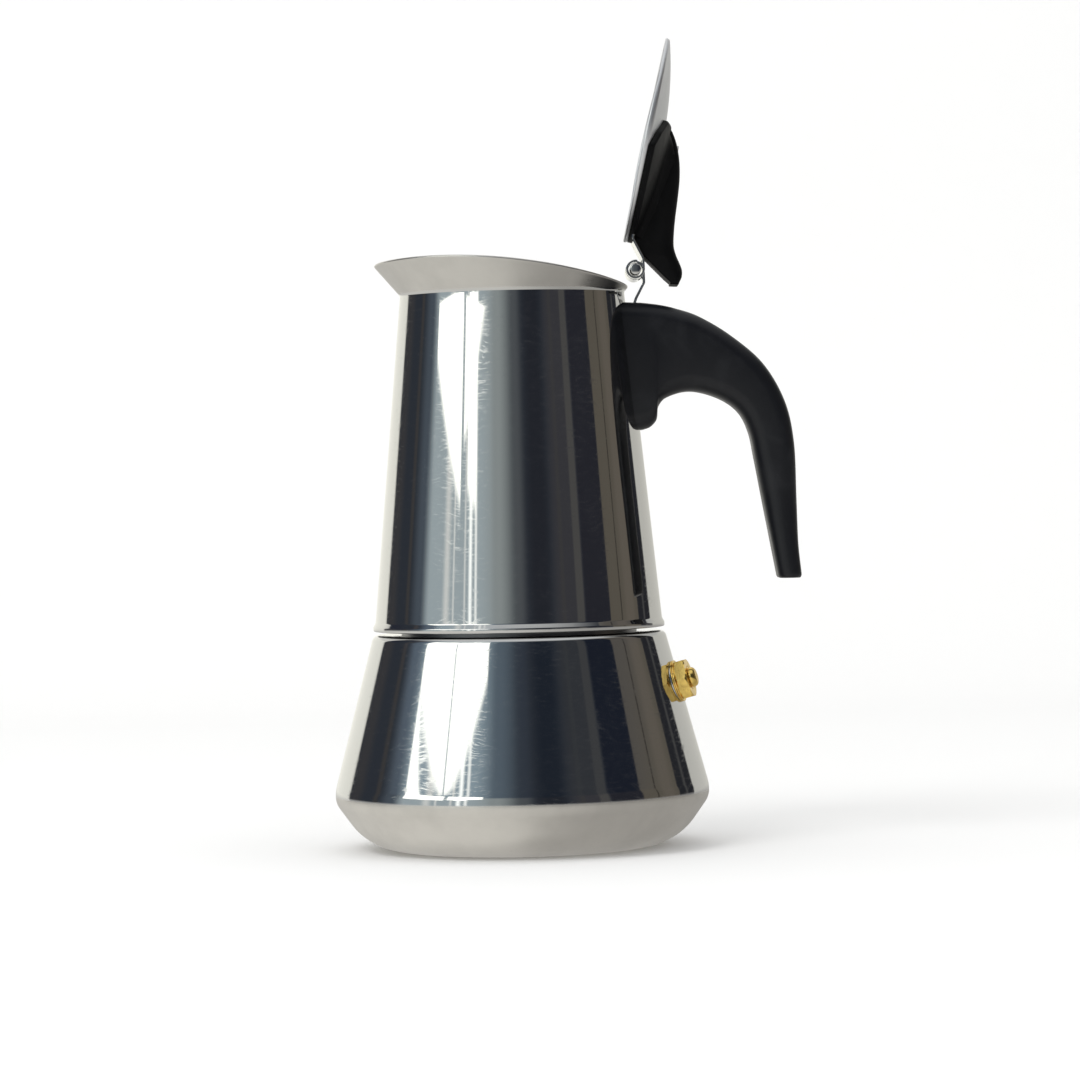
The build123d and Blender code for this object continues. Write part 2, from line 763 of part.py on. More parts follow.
# The safety valve: a brass body through the wall, bored from outside down to its seat
hex_top = valve_washer_thickness + valve_hex_height
seat_top = valve_seat_thickness - valve_shank_length
disc_top = seat_top + valve_disc_thickness
retainer_low = hex_top - valve_retainer_thickness
valve_axis = Axis(valve_plane.origin, valve_plane.z_dir)
with BuildPart() as valve_body:
    hexagon(valve_hex_flats, valve_washer_thickness, hex_top, valve_plane)
    chamfer(valve_body.faces().sort_by(valve_axis)[-1].edges(), length=valve_hex_edge)
    ring(0, valve_shank_radius, -valve_shank_length, valve_washer_thickness, valve_plane)
    ring(0, valve_bore_radius, seat_top, hex_top, valve_plane, Mode.SUBTRACT)
    ring(0, valve_seat_radius, -valve_shank_length, seat_top, valve_plane, Mode.SUBTRACT)
save(valve_body, "valve_body")

with BuildPart() as valve_washer:
    ring(valve_shank_radius + shaft_gap, valve_washer_radius, 0, valve_washer_thickness, valve_plane)
save(valve_washer, "valve_washer")

with BuildPart() as valve_seal:
    seal_low = -valve_pad_thickness - valve_seal_thickness
    ring(valve_shank_radius + shaft_gap, valve_pad_radius, seal_low, -valve_pad_thickness, valve_plane)
save(valve_seal, "valve_seal")

with BuildPart() as valve_nut:
    hexagon(valve_nut_flats, seal_low - valve_nut_thickness, seal_low, valve_plane)
    nut_bore = valve_shank_radius + weld_gap
    ring(0, nut_bore, seal_low - valve_nut_thickness, seal_low, valve_plane, Mode.SUBTRACT)
save(valve_nut, "valve_nut")

# The pin seals the seat with its disc, and its round end shows through the retainer
with BuildPart() as valve_pin:
    ring(0, valve_bore_radius - soft_gap, seat_top, disc_top, valve_plane)
    head_low = hex_top + valve_head_gap
    ring(0, valve_stem_radius, disc_top, head_low, valve_plane)
    ring(0, valve_head_radius, head_low, head_low + valve_head_height, valve_plane)
    fillet(valve_pin.faces().sort_by(valve_axis)[-1].edges(), radius=valve_head_edge)
save(valve_pin, "valve_pin")

with BuildPart() as valve_retainer:
    retainer_bore = valve_stem_radius + running_gap
    ring(retainer_bore, valve_bore_radius - weld_gap, retainer_low, hex_top, valve_plane)
save(valve_retainer, "valve_retainer")

with BuildPart() as valve_spring:
    coil_length = retainer_low - disc_top - 2 * valve_wire_radius
    with BuildLine() as coil:
        Helix(
            pitch=coil_length / valve_spring_turns,
            height=coil_length,
            radius=valve_spring_radius,
            center=valve_plane.from_local_coords((0, 0, disc_top + valve_wire_radius)),
            direction=valve_plane.z_dir,
        )
    with BuildSketch(Plane(coil.line @ 0, z_dir=coil.line % 0)):
        Circle(valve_wire_radius)
    sweep(path=coil.line, is_frenet=True)
save(valve_spring, "valve_spring")
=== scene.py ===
import json
import math

import bmesh
import bpy
import numpy as np
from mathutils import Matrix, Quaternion, Vector


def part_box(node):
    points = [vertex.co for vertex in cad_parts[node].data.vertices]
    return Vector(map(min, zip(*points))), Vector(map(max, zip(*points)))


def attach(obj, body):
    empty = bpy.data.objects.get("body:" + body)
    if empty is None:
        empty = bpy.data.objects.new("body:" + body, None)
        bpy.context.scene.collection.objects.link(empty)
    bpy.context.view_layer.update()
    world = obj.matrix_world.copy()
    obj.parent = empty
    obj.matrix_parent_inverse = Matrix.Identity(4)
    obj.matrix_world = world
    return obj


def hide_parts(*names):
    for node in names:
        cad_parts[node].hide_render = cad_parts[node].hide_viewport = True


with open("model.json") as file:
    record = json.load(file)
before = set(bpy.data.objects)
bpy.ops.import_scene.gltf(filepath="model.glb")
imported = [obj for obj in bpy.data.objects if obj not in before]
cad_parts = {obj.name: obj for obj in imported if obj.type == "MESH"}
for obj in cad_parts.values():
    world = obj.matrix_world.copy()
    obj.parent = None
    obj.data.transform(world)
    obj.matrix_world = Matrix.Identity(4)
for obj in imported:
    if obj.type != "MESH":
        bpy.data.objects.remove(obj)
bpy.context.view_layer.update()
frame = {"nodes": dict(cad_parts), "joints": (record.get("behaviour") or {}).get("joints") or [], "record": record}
mm = 0.001  # every shape below is worked out in millimetres


def boxOf(node):
    low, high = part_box(node)
    return np.array(low) / mm, np.array(high) / mm


def jointOf(name):
    return next(joint for joint in frame["joints"] if joint["name"] == name)


def segment(start, end, count=2):
    # straight run: start + t (end - start)
    t = np.linspace(0, 1, count)[:, None]
    return np.array(start) * (1 - t) + np.array(end) * t


def roundedOutline(corners, steps=7):
    # corners are (x, z, radius); each is replaced by an arc that touches both of its runs
    points = np.array([corner[:2] for corner in corners], float)
    radii = [corner[2] for corner in corners]
    parts = [points[:1]]
    for i in range(1, len(points) - 1):
        before = points[i - 1] - points[i]
        after = points[i + 1] - points[i]
        before /= np.linalg.norm(before)
        after /= np.linalg.norm(after)
        half = math.acos(np.clip(before @ after, -1, 1)) / 2
        if radii[i] <= 0 or half > 1.569:
            parts.append(points[i:i + 1])
            continue
        reach = radii[i] / math.tan(half)
        middle = (before + after) / np.linalg.norm(before + after)
        centre = points[i] + middle * radii[i] / math.sin(half)
        first = points[i] + before * reach - centre
        last = points[i] + after * reach - centre
        swing = math.atan2(first[0] * last[1] - first[1] * last[0], first @ last)
        turn = np.linspace(0, swing, steps)
        arc = np.stack([
            first[0] * np.cos(turn) - first[1] * np.sin(turn),
            first[0] * np.sin(turn) + first[1] * np.cos(turn),
        ], 1)
        parts.append(centre + arc)
    parts.append(points[-1:])
    return np.concatenate(parts)


def tangentArc(start, direction, end, steps=12):
    # the one arc that leaves start along direction and passes through end
    start, end = np.array(start, float), np.array(end, float)
    direction = np.array(direction, float) / np.linalg.norm(direction)
    chord = end - start
    normal = np.array([-direction[1], direction[0]])
    radius = chord @ chord / (2 * chord @ normal)
    swing = 2 * math.atan2(chord @ normal, chord @ direction)
    turn = np.linspace(0, swing, steps)
    arc = start + normal * radius * (1 - np.cos(turn))[:, None]
    arc += direction * radius * np.sin(turn)[:, None]
    finish = direction * math.cos(swing) + normal * math.sin(swing)
    return arc, finish


def refined(points, longest):
    # adds points so that no run is longer than the given length
    parts = []
    for first, last in zip(points[:-1], points[1:]):
        count = max(2, int(np.linalg.norm(last - first) / longest) + 2)
        parts.append(segment(first, last, count)[:-1])
    return np.concatenate(parts + [points[-1:]])


def smoothCurve(points, count):
    # Catmull-Rom curve through the points, evenly spaced along its length
    points = np.array(points, float)
    padded = np.vstack([2 * points[0] - points[1], points, 2 * points[-1] - points[-2]])
    t = np.linspace(0, 1, 24, endpoint=False)[:, None]
    parts = []
    for i in range(1, len(padded) - 2):
        a, b, c, d = padded[i - 1:i + 3]
        parts.append(0.5 * (2 * b + (c - a) * t + (2 * a - 5 * b + 4 * c - d) * t ** 2
                            + (3 * b - a - 3 * c + d) * t ** 3))
    dense = np.vstack(parts + [points[-1:]])
    length = np.concatenate([[0], np.cumsum(np.linalg.norm(np.diff(dense, axis=0), axis=1))])
    wanted = np.linspace(0, length[-1], count)
    return np.stack([np.interp(wanted, length, dense[:, k]) for k in range(points.shape[1])], 1)


def offsetLine(points, distance):
    # moves an open line sideways, to its left, along the mean of its neighbours' normals
    run = np.gradient(points, axis=0)
    run /= np.linalg.norm(run, axis=1)[:, None] + 1e-12
    return points + distance * np.stack([-run[:, 1], run[:, 0]], 1)


def meshFromGrids(name, grids, sharpAngle=35):
    # each grid is (points[u, v, 3] in millimetres, closed in u, closed in v)
    verts, faces, base = [], [], 0
    for points, closedU, closedV in grids:
        nu, nv = points.shape[:2]
        index = base + np.arange(nu * nv).reshape(nu, nv)
        if closedU:
            index = np.vstack([index, index[:1]])
        if closedV:
            index = np.hstack([index, index[:, :1]])
        quads = np.stack([index[:-1, :-1], index[1:, :-1], index[1:, 1:], index[:-1, 1:]], -1)
        faces.append(quads.reshape(-1, 4))
        verts.append(points.reshape(-1, 3))
        base += nu * nv
    mesh = bpy.data.meshes.new(name)
    mesh.from_pydata((np.concatenate(verts) * mm).tolist(), [], np.concatenate(faces).tolist())
    solid = bmesh.new()
    solid.from_mesh(mesh)
    bmesh.ops.remove_doubles(solid, verts=solid.verts, dist=1e-7)
    bmesh.ops.dissolve_degenerate(solid, edges=solid.edges, dist=1e-8)
    bmesh.ops.recalc_face_normals(solid, faces=solid.faces)
    solid.to_mesh(mesh)
    solid.free()
    mesh.shade_smooth()
    mesh.set_sharp_from_angle(angle=math.radians(sharpAngle))
    piece = bpy.data.objects.new(name, mesh)
    bpy.context.collection.objects.link(piece)
    return piece


def turned(outline, segments):
    # revolves (radius, height) points about the pot's axis: (r cos v, r sin v, z)
    angle = np.linspace(0, 2 * np.pi, segments, endpoint=False)
    r, z = outline[:, :1], outline[:, 1:2]
    grid = np.stack([r * np.cos(angle), r * np.sin(angle), z + 0 * angle], -1)
    return grid, True, True


def sheetOutline(outer, wall):
    # a sheet-metal section: the outer line, and the same line moved in by the wall
    return np.vstack([outer, offsetLine(outer, wall)[::-1]])


def finishPiece(piece, body, slot, material, *nodes):
    piece.data.materials.append(material)
    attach(piece, body)
    if nodes:
        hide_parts(*nodes)
    return piece


def nodeTree(name):
    material = bpy.data.materials.new(name)
    material.use_nodes = True
    tree = material.node_tree
    shader = tree.nodes["Principled BSDF"]
    return material, tree, shader


def place(tree, scale, shift=(0, 0, 0)):
    # object coordinates, stretched so that a pattern is long where its scale is small
    coordinate = tree.nodes.new("ShaderNodeTexCoord")
    mapping = tree.nodes.new("ShaderNodeMapping")
    mapping.inputs["Scale"].default_value = scale
    mapping.inputs["Location"].default_value = shift
    tree.links.new(coordinate.outputs["Object"], mapping.inputs["Vector"])
    return mapping.outputs["Vector"]


def noise(tree, vector, scale, detail=3.0, roughness=0.5, distortion=0.0):
    texture = tree.nodes.new("ShaderNodeTexNoise")
    texture.inputs["Scale"].default_value = scale
    texture.inputs["Detail"].default_value = detail
    texture.inputs["Roughness"].default_value = roughness
    texture.inputs["Distortion"].default_value = distortion
    tree.links.new(vector, texture.inputs["Vector"])
    return texture.outputs["Fac"]


def remap(tree, value, fromLow, fromHigh, toLow, toHigh, smooth=False):
    node = tree.nodes.new("ShaderNodeMapRange")
    node.interpolation_type = "SMOOTHSTEP" if smooth else "LINEAR"
    for socket, number in zip(("From Min", "From Max", "To Min", "To Max"),
                              (fromLow, fromHigh, toLow, toHigh)):
        node.inputs[socket].default_value = number
    tree.links.new(value, node.inputs["Value"])
    return node.outputs["Result"]


def combine(tree, kind, first, second):
    node = tree.nodes.new("ShaderNodeMath")
    node.operation = kind
    for socket, value in zip(node.inputs, (first, second)):
        if isinstance(value, (int, float)):
            socket.default_value = value
        else:
            tree.links.new(value, socket)
    return node.outputs["Value"]


def blendColours(tree, factor, first, second):
    node = tree.nodes.new("ShaderNodeMix")
    node.data_type = "RGBA"
    tree.links.new(factor, node.inputs["Factor"])
    for socket, value in ((node.inputs["A"], first), (node.inputs["B"], second)):
        if isinstance(value, tuple):
            socket.default_value = value + (1,)
        else:
            tree.links.new(value, socket)
    return node.outputs["Result"]


def bump(tree, height, distance, strength=1.0, under=None):
    node = tree.nodes.new("ShaderNodeBump")
    node.inputs["Strength"].default_value = strength
    node.inputs["Distance"].default_value = distance
    tree.links.new(height, node.inputs["Height"])
    if under is not None:
        tree.links.new(under, node.inputs["Normal"])
    return node.outputs["Normal"]


def axisHeight(tree):
    split = tree.nodes.new("ShaderNodeSeparateXYZ")
    coordinate = tree.nodes.new("ShaderNodeTexCoord")
    tree.links.new(coordinate.outputs["Object"], split.inputs["Vector"])
    return split.outputs["Z"]


# sizes are in metres; rough values are the shader's own
steelFinish = {
    "polishTint": (0.62, 0.62, 0.615), "satinTint": (0.66, 0.645, 0.615),
    "polishRough": (0.018, 0.045), "hairRough": 0.24, "hairLength": 0.0032, "hairWidth": 0.00036,
    "swirl": 0.0022, "satinRough": (0.27, 0.36), "satinDepth": 0.000012, "wave": 0.000035,
}


def swirled(tree, amount, coarse, shift):
    # object coordinates whose height is pushed up and down by a slow noise, so that lines
    # across the pot turn into gentle arcs
    coordinate = tree.nodes.new("ShaderNodeTexCoord")
    split = tree.nodes.new("ShaderNodeSeparateXYZ")
    tree.links.new(coordinate.outputs["Object"], split.inputs["Vector"])
    push = noise(tree, place(tree, (1, 1, 1), shift), coarse, 2, 0.5)
    push = remap(tree, push, 0.3, 0.7, -amount, amount)
    joined = tree.nodes.new("ShaderNodeCombineXYZ")
    tree.links.new(split.outputs["X"], joined.inputs["X"])
    tree.links.new(split.outputs["Y"], joined.inputs["Y"])
    tree.links.new(combine(tree, "ADD", split.outputs["Z"], push), joined.inputs["Z"])
    return joined.outputs["Vector"]


def stretched(tree, vector, scale):
    mapping = tree.nodes.new("ShaderNodeMapping")
    mapping.inputs["Scale"].default_value = scale
    tree.links.new(vector, mapping.inputs["Vector"])
    return mapping.outputs["Vector"]


def polish(tree):
    # roughness of buffed sheet: nearly a mirror, crossed by fine rubbed hairs in loose arcs,
    # denser in some patches
    finish = steelFinish
    along, across = 1 / finish["hairLength"], 1 / finish["hairWidth"]
    swirls = swirled(tree, finish["swirl"], 60, (0.3, 0.1, 0.2))
    hairs = noise(tree, stretched(tree, swirls, (along, along, across)), 1.0, 3, 0.65)
    patches = noise(tree, place(tree, (1, 1, 0.6)), 45, 3, 0.55)
    hairs = remap(tree, hairs, 0.5, 0.78, 0, 1)
    hairs = combine(tree, "MULTIPLY", hairs, remap(tree, patches, 0.35, 0.62, 0.45, 1, True))
    rough = remap(tree, patches, 0.3, 0.7, *finish["polishRough"])
    return combine(tree, "ADD", rough, combine(tree, "MULTIPLY", hairs, finish["hairRough"])), patches


def satinGrain(tree):
    # roughness and grain of sheet rubbed with an abrasive pad: short soft lines round the pot
    swirls = swirled(tree, 0.004, 35, (0.7, 0.2, 0.5))
    grain = noise(tree, stretched(tree, swirls, (260, 260, 3200)), 1.0, 4, 0.7)
    cloud = noise(tree, place(tree, (1, 1, 1), (0.1, 0.4, 0)), 55, 4, 0.6)
    mixed = combine(tree, "ADD", grain, combine(tree, "MULTIPLY", cloud, 1.5))
    return remap(tree, mixed, 0.8, 1.7, *steelFinish["satinRough"]), grain, cloud


def steel(name, satin, tint=None, soften=0.0):
    # satin is True or False, or the height in metres above which polish turns to satin
    material, tree, shader = nodeTree(name)
    shader.inputs["Metallic"].default_value = 1.0
    finish = steelFinish
    wave = bump(tree, noise(tree, place(tree, (1, 1, 0.35), (0, 0.2, 0)), 30, 1, 0.4), finish["wave"])
    if satin is False:
        rough, patches = polish(tree)
        colour = blendColours(tree, patches, finish["polishTint"], (0.60, 0.605, 0.61))
        normal = wave
    else:
        rough, grain, cloud = satinGrain(tree)
        rough = combine(tree, "ADD", rough, soften)
        warm = tint or finish["satinTint"]
        worn = tuple(v * 0.9 for v in warm)
        colour = blendColours(tree, remap(tree, cloud, 0.35, 0.7, 0, 1, True), warm, worn)
        if satin is not True:
            part = remap(tree, axisHeight(tree), satin - 0.0002, satin + 0.0002, 0, 1)
            bright, patches = polish(tree)
            mix = tree.nodes.new("ShaderNodeMix")
            for socket, value in (("Factor", part), ("A", bright), ("B", rough)):
                tree.links.new(value, mix.inputs[socket])
            rough = mix.outputs["Result"]
            grain = combine(tree, "MULTIPLY", grain, part)
            colour = blendColours(tree, part, finish["polishTint"], colour)
        normal = bump(tree, grain, finish["satinDepth"], under=wave)
    tree.links.new(colour, shader.inputs["Base Color"])
    tree.links.new(rough, shader.inputs["Roughness"])
    tree.links.new(normal, shader.inputs["Normal"])
    return material


plasticFinish = {
    "handle": {"colour": (0.0055, 0.0062, 0.0088), "worn": (0.010, 0.011, 0.014), "rough": (0.32, 0.44),
               "shine": 0.32},
    "knob": {"colour": (0.0020, 0.0021, 0.0026), "worn": (0.0035, 0.0036, 0.0042), "rough": (0.48, 0.60),
             "shine": 0.12},
    "grain": 0.00004,
}


def blackPlastic(name, look):
    # moulded phenolic: fine pebbled grain, faint flow marks, rubbed lighter patches
    material, tree, shader = nodeTree(name)
    shader.inputs["IOR"].default_value = 1.5
    shader.inputs["Specular IOR Level"].default_value = look["shine"]
    pebbles = noise(tree, place(tree, (1, 1, 1)), 1900, 3, 0.6)
    flow = noise(tree, place(tree, (1, 1, 1)), 60, 4, 0.6, 1.2)
    hair = noise(tree, place(tree, (500, 40, 60), (0.2, 0, 0)), 3.0, 4, 0.7, 0.6)
    worn = remap(tree, flow, 0.45, 0.75, 0, 1, True)
    lines = remap(tree, hair, 0.62, 0.72, 0, 1)
    colour = blendColours(tree, worn, look["colour"], look["worn"])
    rough = remap(tree, flow, 0.3, 0.7, *look["rough"])
    rough = combine(tree, "ADD", rough, combine(tree, "MULTIPLY", lines, 0.06))
    tree.links.new(colour, shader.inputs["Base Color"])
    tree.links.new(rough, shader.inputs["Roughness"])
    normal = bump(tree, pebbles, plasticFinish["grain"], 0.5)
    normal = bump(tree, lines, 0.00002, 0.3, under=normal)
    tree.links.new(normal, shader.inputs["Normal"])
    return material


def brass(name):
    # turned brass: fine lathe lines, a little tarnish in the hollows
    material, tree, shader = nodeTree(name)
    shader.inputs["Metallic"].default_value = 1.0
    tarnish = remap(tree, noise(tree, place(tree, (1, 1, 1)), 320, 4, 0.6, 0.6), 0.4, 0.7, 0, 1, True)
    lathe = noise(tree, place(tree, (1800, 200, 700)), 1.0, 4, 0.7)
    colour = blendColours(tree, tarnish, (0.95, 0.68, 0.20), (0.74, 0.52, 0.15))
    rough = remap(tree, tarnish, 0, 1, 0.13, 0.22)
    rough = combine(tree, "ADD", rough, remap(tree, lathe, 0.3, 0.7, 0, 0.08))
    tree.links.new(colour, shader.inputs["Base Color"])
    tree.links.new(rough, shader.inputs["Roughness"])
    tree.links.new(bump(tree, lathe, 0.00003), shader.inputs["Normal"])
    return material


def silicone(name):
    material, tree, shader = nodeTree(name)
    shader.inputs["Subsurface Weight"].default_value = 0.1
    spots = noise(tree, place(tree, (1, 1, 1)), 240, 4, 0.6)
    colour = blendColours(tree, spots, (0.80, 0.79, 0.76), (0.70, 0.68, 0.62))
    tree.links.new(colour, shader.inputs["Base Color"])
    tree.links.new(remap(tree, spots, 0.3, 0.7, 0.45, 0.6), shader.inputs["Roughness"])
    tree.links.new(bump(tree, spots, 0.0001, 0.4), shader.inputs["Normal"])
    return material


def tableMaterial(name):
    material, tree, shader = nodeTree(name)
    shader.inputs["Specular IOR Level"].default_value = 0.1
    cloud = noise(tree, place(tree, (1, 1, 1)), 3, 2, 0.5)
    colour = blendColours(tree, cloud, (0.95, 0.95, 0.945), (0.935, 0.935, 0.93))
    tree.links.new(colour, shader.inputs["Base Color"])
    tree.links.new(remap(tree, cloud, 0.3, 0.7, 0.75, 0.85), shader.inputs["Roughness"])
    return material


creaseHeight = 0.1483
potSteel = steel("potSteel", creaseHeight)
boilerSteel = steel("boilerSteel", False)
panSteel = steel("panSteel", True, (0.72, 0.70, 0.665))
lidSteel = steel("lidSteel", True, (0.84, 0.855, 0.88), 0.14)
hingeSteel = steel("hingeSteel", False)
innerSteel = steel("innerSteel", True, (0.58, 0.575, 0.56))
screwSteel = steel("screwSteel", True, (0.5, 0.5, 0.51))
# a darker steel for the threads in the seam: the gap's shade painted into its colour
seamShadeSteel = steel("seamShadeSteel", True, (0.24, 0.24, 0.245))
handleBlack = blackPlastic("handleBlack", plasticFinish["handle"])
knobBlack = blackPlastic("knobBlack", plasticFinish["knob"])
valveBrass = brass("valveBrass")
whiteSilicone = silicone("whiteSilicone")
paleTable = tableMaterial("paleTable")


boilerShape = {
    "baseFlat": 32.0, "bendEnd": (46.0, 7.2), "sideEnd": (49.0, 11.4),
    "knee": (49.62, 2.8), "shoulder": (39.4, 56.0), "shoulderRound": 1.5, "wall": 1.2,
    "neckRadius": 31.5,
}


def makeBoiler():
    shellLow, shellHigh = boxOf("boiler_shell")
    widest, seam, top = shellHigh[0], shellLow[2], shellHigh[2]
    shape = boilerShape
    bend, direction = tangentArc((shape["baseFlat"], 0), (1, 0), shape["bendEnd"], 24)
    rim, _ = tangentArc(shape["sideEnd"], direction, (widest, seam), 12)
    pan = np.vstack([segment((0, 0), (shape["baseFlat"], 0), 6)[:-1], bend,
                     segment(bend[-1], rim[0], 4)[1:-1], rim])
    bottom = meshFromGrids("boilerPan", [turned(sheetOutline(pan, shape["wall"]), 320)])
    finishPiece(bottom, "boiler", "satin_steel", panSteel, "boiler_bottom")

    kneeEnd = (shape["knee"][0], seam + shape["knee"][1])
    knee, direction = tangentArc((widest, seam), (0, 1), kneeEnd, 12)
    shoulderEnd = (shape["shoulder"][0] - shape["shoulderRound"], top)
    shoulder, _ = tangentArc(shape["shoulder"], direction, shoulderEnd, 10)
    cone = np.vstack([knee[:-1], segment(knee[-1], shape["shoulder"], 24)[:-1], shoulder,
                      segment(shoulderEnd, (shape["neckRadius"], top), 4)[1:]])
    skin = meshFromGrids("boilerCone", [turned(sheetOutline(cone, shape["wall"]), 320),
                                        valvePad()])
    finishPiece(skin, "boiler", "polished_steel", boilerSteel, "boiler_shell")


valveShape = {
    "padRadius": 5.5, "padEdge": 0.25, "padDepth": 1.4, "washerRadius": 5.6, "washer": 0.9,
    "flats": 10.0, "hex": 3.0, "bore": 3.0, "lip": 0.3, "shank": 8.5, "seat": -6.5,
    "seatHole": 1.2, "disc": 1.2, "stem": 1.4, "head": 2.7, "headGap": 0.15, "headHeight": 1.65,
    "headEdge": 1.3,
}


def valveFrame():
    # the valve's axis is the pin joint's axis; its pad's centre is found from the washer
    axis = np.array(jointOf("valve_pin_travel")["axis"], float)
    axis /= np.linalg.norm(axis)
    low, high = boxOf("valve_washer")
    centre = (low + high) / 2 - axis * valveShape["washer"] / 2
    side = np.cross([0, 0, 1], axis)
    side /= np.linalg.norm(side)
    return centre, side, np.cross(axis, side), axis


def aboutValve(outline, segments=96, radiusOf=None):
    # revolves (radius, distance out) points about the valve's axis
    centre, side, rise, axis = valveFrame()
    angle = np.linspace(0, 2 * np.pi, segments, endpoint=False)
    r = outline[:, 0][:, None] + 0 * angle
    if radiusOf is not None:
        r = radiusOf(r, outline[:, 1][:, None] + 0 * angle, angle)
    out = outline[:, 1][:, None, None]
    grid = centre + axis * out + side * (r * np.cos(angle))[..., None]
    return grid + rise * (r * np.sin(angle))[..., None], True, True


def valvePad():
    # the flat seat pressed into the cone: a ring whose face is where the washer lies
    shape = valveShape
    outline = roundedOutline([
        (4.15, -shape["padDepth"], 0), (4.15, 0, 0.1),
        (shape["padRadius"], 0, shape["padEdge"]), (shape["padRadius"], -shape["padDepth"], 0),
    ], 5)
    return aboutValve(np.vstack([outline, outline[:1] + [0, -0.01]]))


def makeValve():
    shape = valveShape
    low, high = shape["washer"], shape["washer"] + shape["hex"]
    # the washer looks like two thin ones: a fine groove runs round its edge
    rim, groove = shape["washerRadius"], low / 2
    washer = roundedOutline([(4.2, 0, 0), (rim, 0, 0.12), (rim, groove - 0.08, 0.05),
                             (rim - 0.25, groove, 0), (rim, groove + 0.08, 0.05),
                             (rim, low, 0.15), (4.2, low, 0)], 5)
    piece = meshFromGrids("valveWasherRing", [aboutValve(washer)])
    finishPiece(piece, "boiler", "valve_brass", valveBrass, "valve_washer")

    half = shape["flats"] / 2

    def hexRadius(r, out, angle):
        # a hexagon's radius, cut by a 30 degree cone at its outer end as a turned nut is
        turn = angle % (np.pi / 3) - np.pi / 6
        flat = half / np.cos(turn)
        crown = half * 1.005 + (high - out) / math.tan(math.radians(28))
        foot = half * 1.02 + (out - low) / math.tan(math.radians(28))
        limit = np.minimum(np.minimum(flat, crown), foot)
        return np.where(r > half * 0.97, limit, r)

    bore, seat, shank = shape["bore"], shape["seat"], shape["shank"]
    outline = np.vstack([
        [(shape["seatHole"], -shank), (4.0, -shank), (4.0, low), (half * 0.9, low)],
        np.stack([np.full(14, half), np.linspace(low, high, 14)], 1),
        [(half * 0.96, high), (half * 0.8, high), (bore + shape["lip"], high)],
        [(bore, high - shape["lip"]), (bore, seat), (shape["seatHole"], seat)],
    ])
    piece = meshFromGrids("valveHexBody", [aboutValve(outline, 144, hexRadius)], 22)
    finishPiece(piece, "boiler", "valve_brass", valveBrass, "valve_body")

    disc = seat + shape["disc"]
    under = high + shape["headGap"]
    reach = under + shape["headHeight"]
    pin = roundedOutline([(0, seat, 0), (bore - 0.3, seat, 0.1), (bore - 0.3, disc, 0.1),
                          (shape["stem"], disc, 0), (shape["stem"], under, 0),
                          (shape["head"], under, 0.15), (shape["head"], reach, shape["headEdge"]),
                          (0, reach, 0)], 9)
    piece = meshFromGrids("valvePin", [aboutValve(pin, 48)])
    finishPiece(piece, "valve_pin", "valve_brass", valveBrass, "valve_pin")


potShape = {
    "bead": 0.4, "beadHeight": 1.2, "foot": 38.6, "waist": 30.1, "height": 88.6,
    "throat": (31.4, 2.6), "flareEnd": (38.1, 10.4), "crease": 1.6, "wall": 0.8,
    "rimArc": 190.0, "rimX": -22.0, "rimRise": 9.8,
}


def makePot():
    low, _ = boxOf("pot_shell")
    shape = potShape
    foot, waistZ = low[2], low[2] + shape["height"]
    slope = (shape["foot"] - shape["waist"]) / shape["height"]
    beadRadius = shape["foot"] + shape["bead"]
    throat = np.array([shape["throat"][0], waistZ + shape["throat"][1]])
    flareEnd = np.array([shape["flareEnd"][0], waistZ + shape["flareEnd"][1]])
    flareRun = flareEnd - throat
    # where the tapered wall and the flare would meet as two straight lines
    steep = flareRun[0] / flareRun[1]
    creaseZ = (shape["waist"] + slope * waistZ - throat[0] + steep * throat[1]) / (steep + slope)
    creaseR = throat[0] + steep * (creaseZ - throat[1])
    outer = roundedOutline([
        (beadRadius - 0.7, foot, 0), (beadRadius, foot, 0.5),
        (beadRadius, foot + shape["beadHeight"], 0.5),
        (shape["foot"] - 2.4 * slope, foot + 2.4, 0.9), (creaseR, creaseZ, shape["crease"]),
        (flareEnd[0], flareEnd[1], 0),
    ], 9)[:-1]
    outer = refined(outer, 4.0)
    inner = offsetLine(np.vstack([outer, flareEnd]), shape["wall"])[:-1]
    angle = np.linspace(0, 2 * np.pi, 360, endpoint=False)
    direction = flareRun / np.linalg.norm(flareRun)
    across = np.array([-direction[1], direction[0]])
    start = outer[-1] + across * shape["wall"] / 2
    # how far up the flare the rim's long arc cuts it, at each angle
    length = np.full(angle.shape, 8.0)
    for _ in range(12):
        x = (start[0] + direction[0] * length) * np.cos(angle)
        rimZ = waistZ + shape["rimRise"] - (x - shape["rimX"]) ** 2 / (2 * shape["rimArc"])
        length = (rimZ - start[1]) / direction[1] - shape["wall"] / 2
    step = np.linspace(0, 1, 14)[1:, None, None]
    run = step * length[None, :, None] * direction
    turn = np.linspace(-np.pi / 2, np.pi / 2, 7)[1:-1]
    nose = (np.sin(turn)[:, None] * across + np.cos(turn)[:, None] * direction) * shape["wall"] / 2
    tip = (start + length[:, None] * direction)[None]
    flare = [outer[-1] + run, tip + nose[:, None, :], (inner[-1] + run)[::-1]]
    wide = lambda line: np.repeat(line[:, None, :], len(angle), 1)
    section = np.concatenate([wide(outer)] + flare + [wide(inner[::-1])])
    grid = np.stack([section[..., 0] * np.cos(angle), section[..., 0] * np.sin(angle),
                     section[..., 1]], -1)
    piece = meshFromGrids("potBody", [(grid, True, True)], 50)
    finishPiece(piece, "pot", "polished_steel", potSteel, "pot_shell")


lidShape = {
    "radius": 28.2, "dome": 4.0, "droop": 1.35, "wall": 0.8, "edge": 0.55, "clearance": 0.3,
    "pinA": -6.6, "pinN": 3.7, "rimLean": 0.29,
}


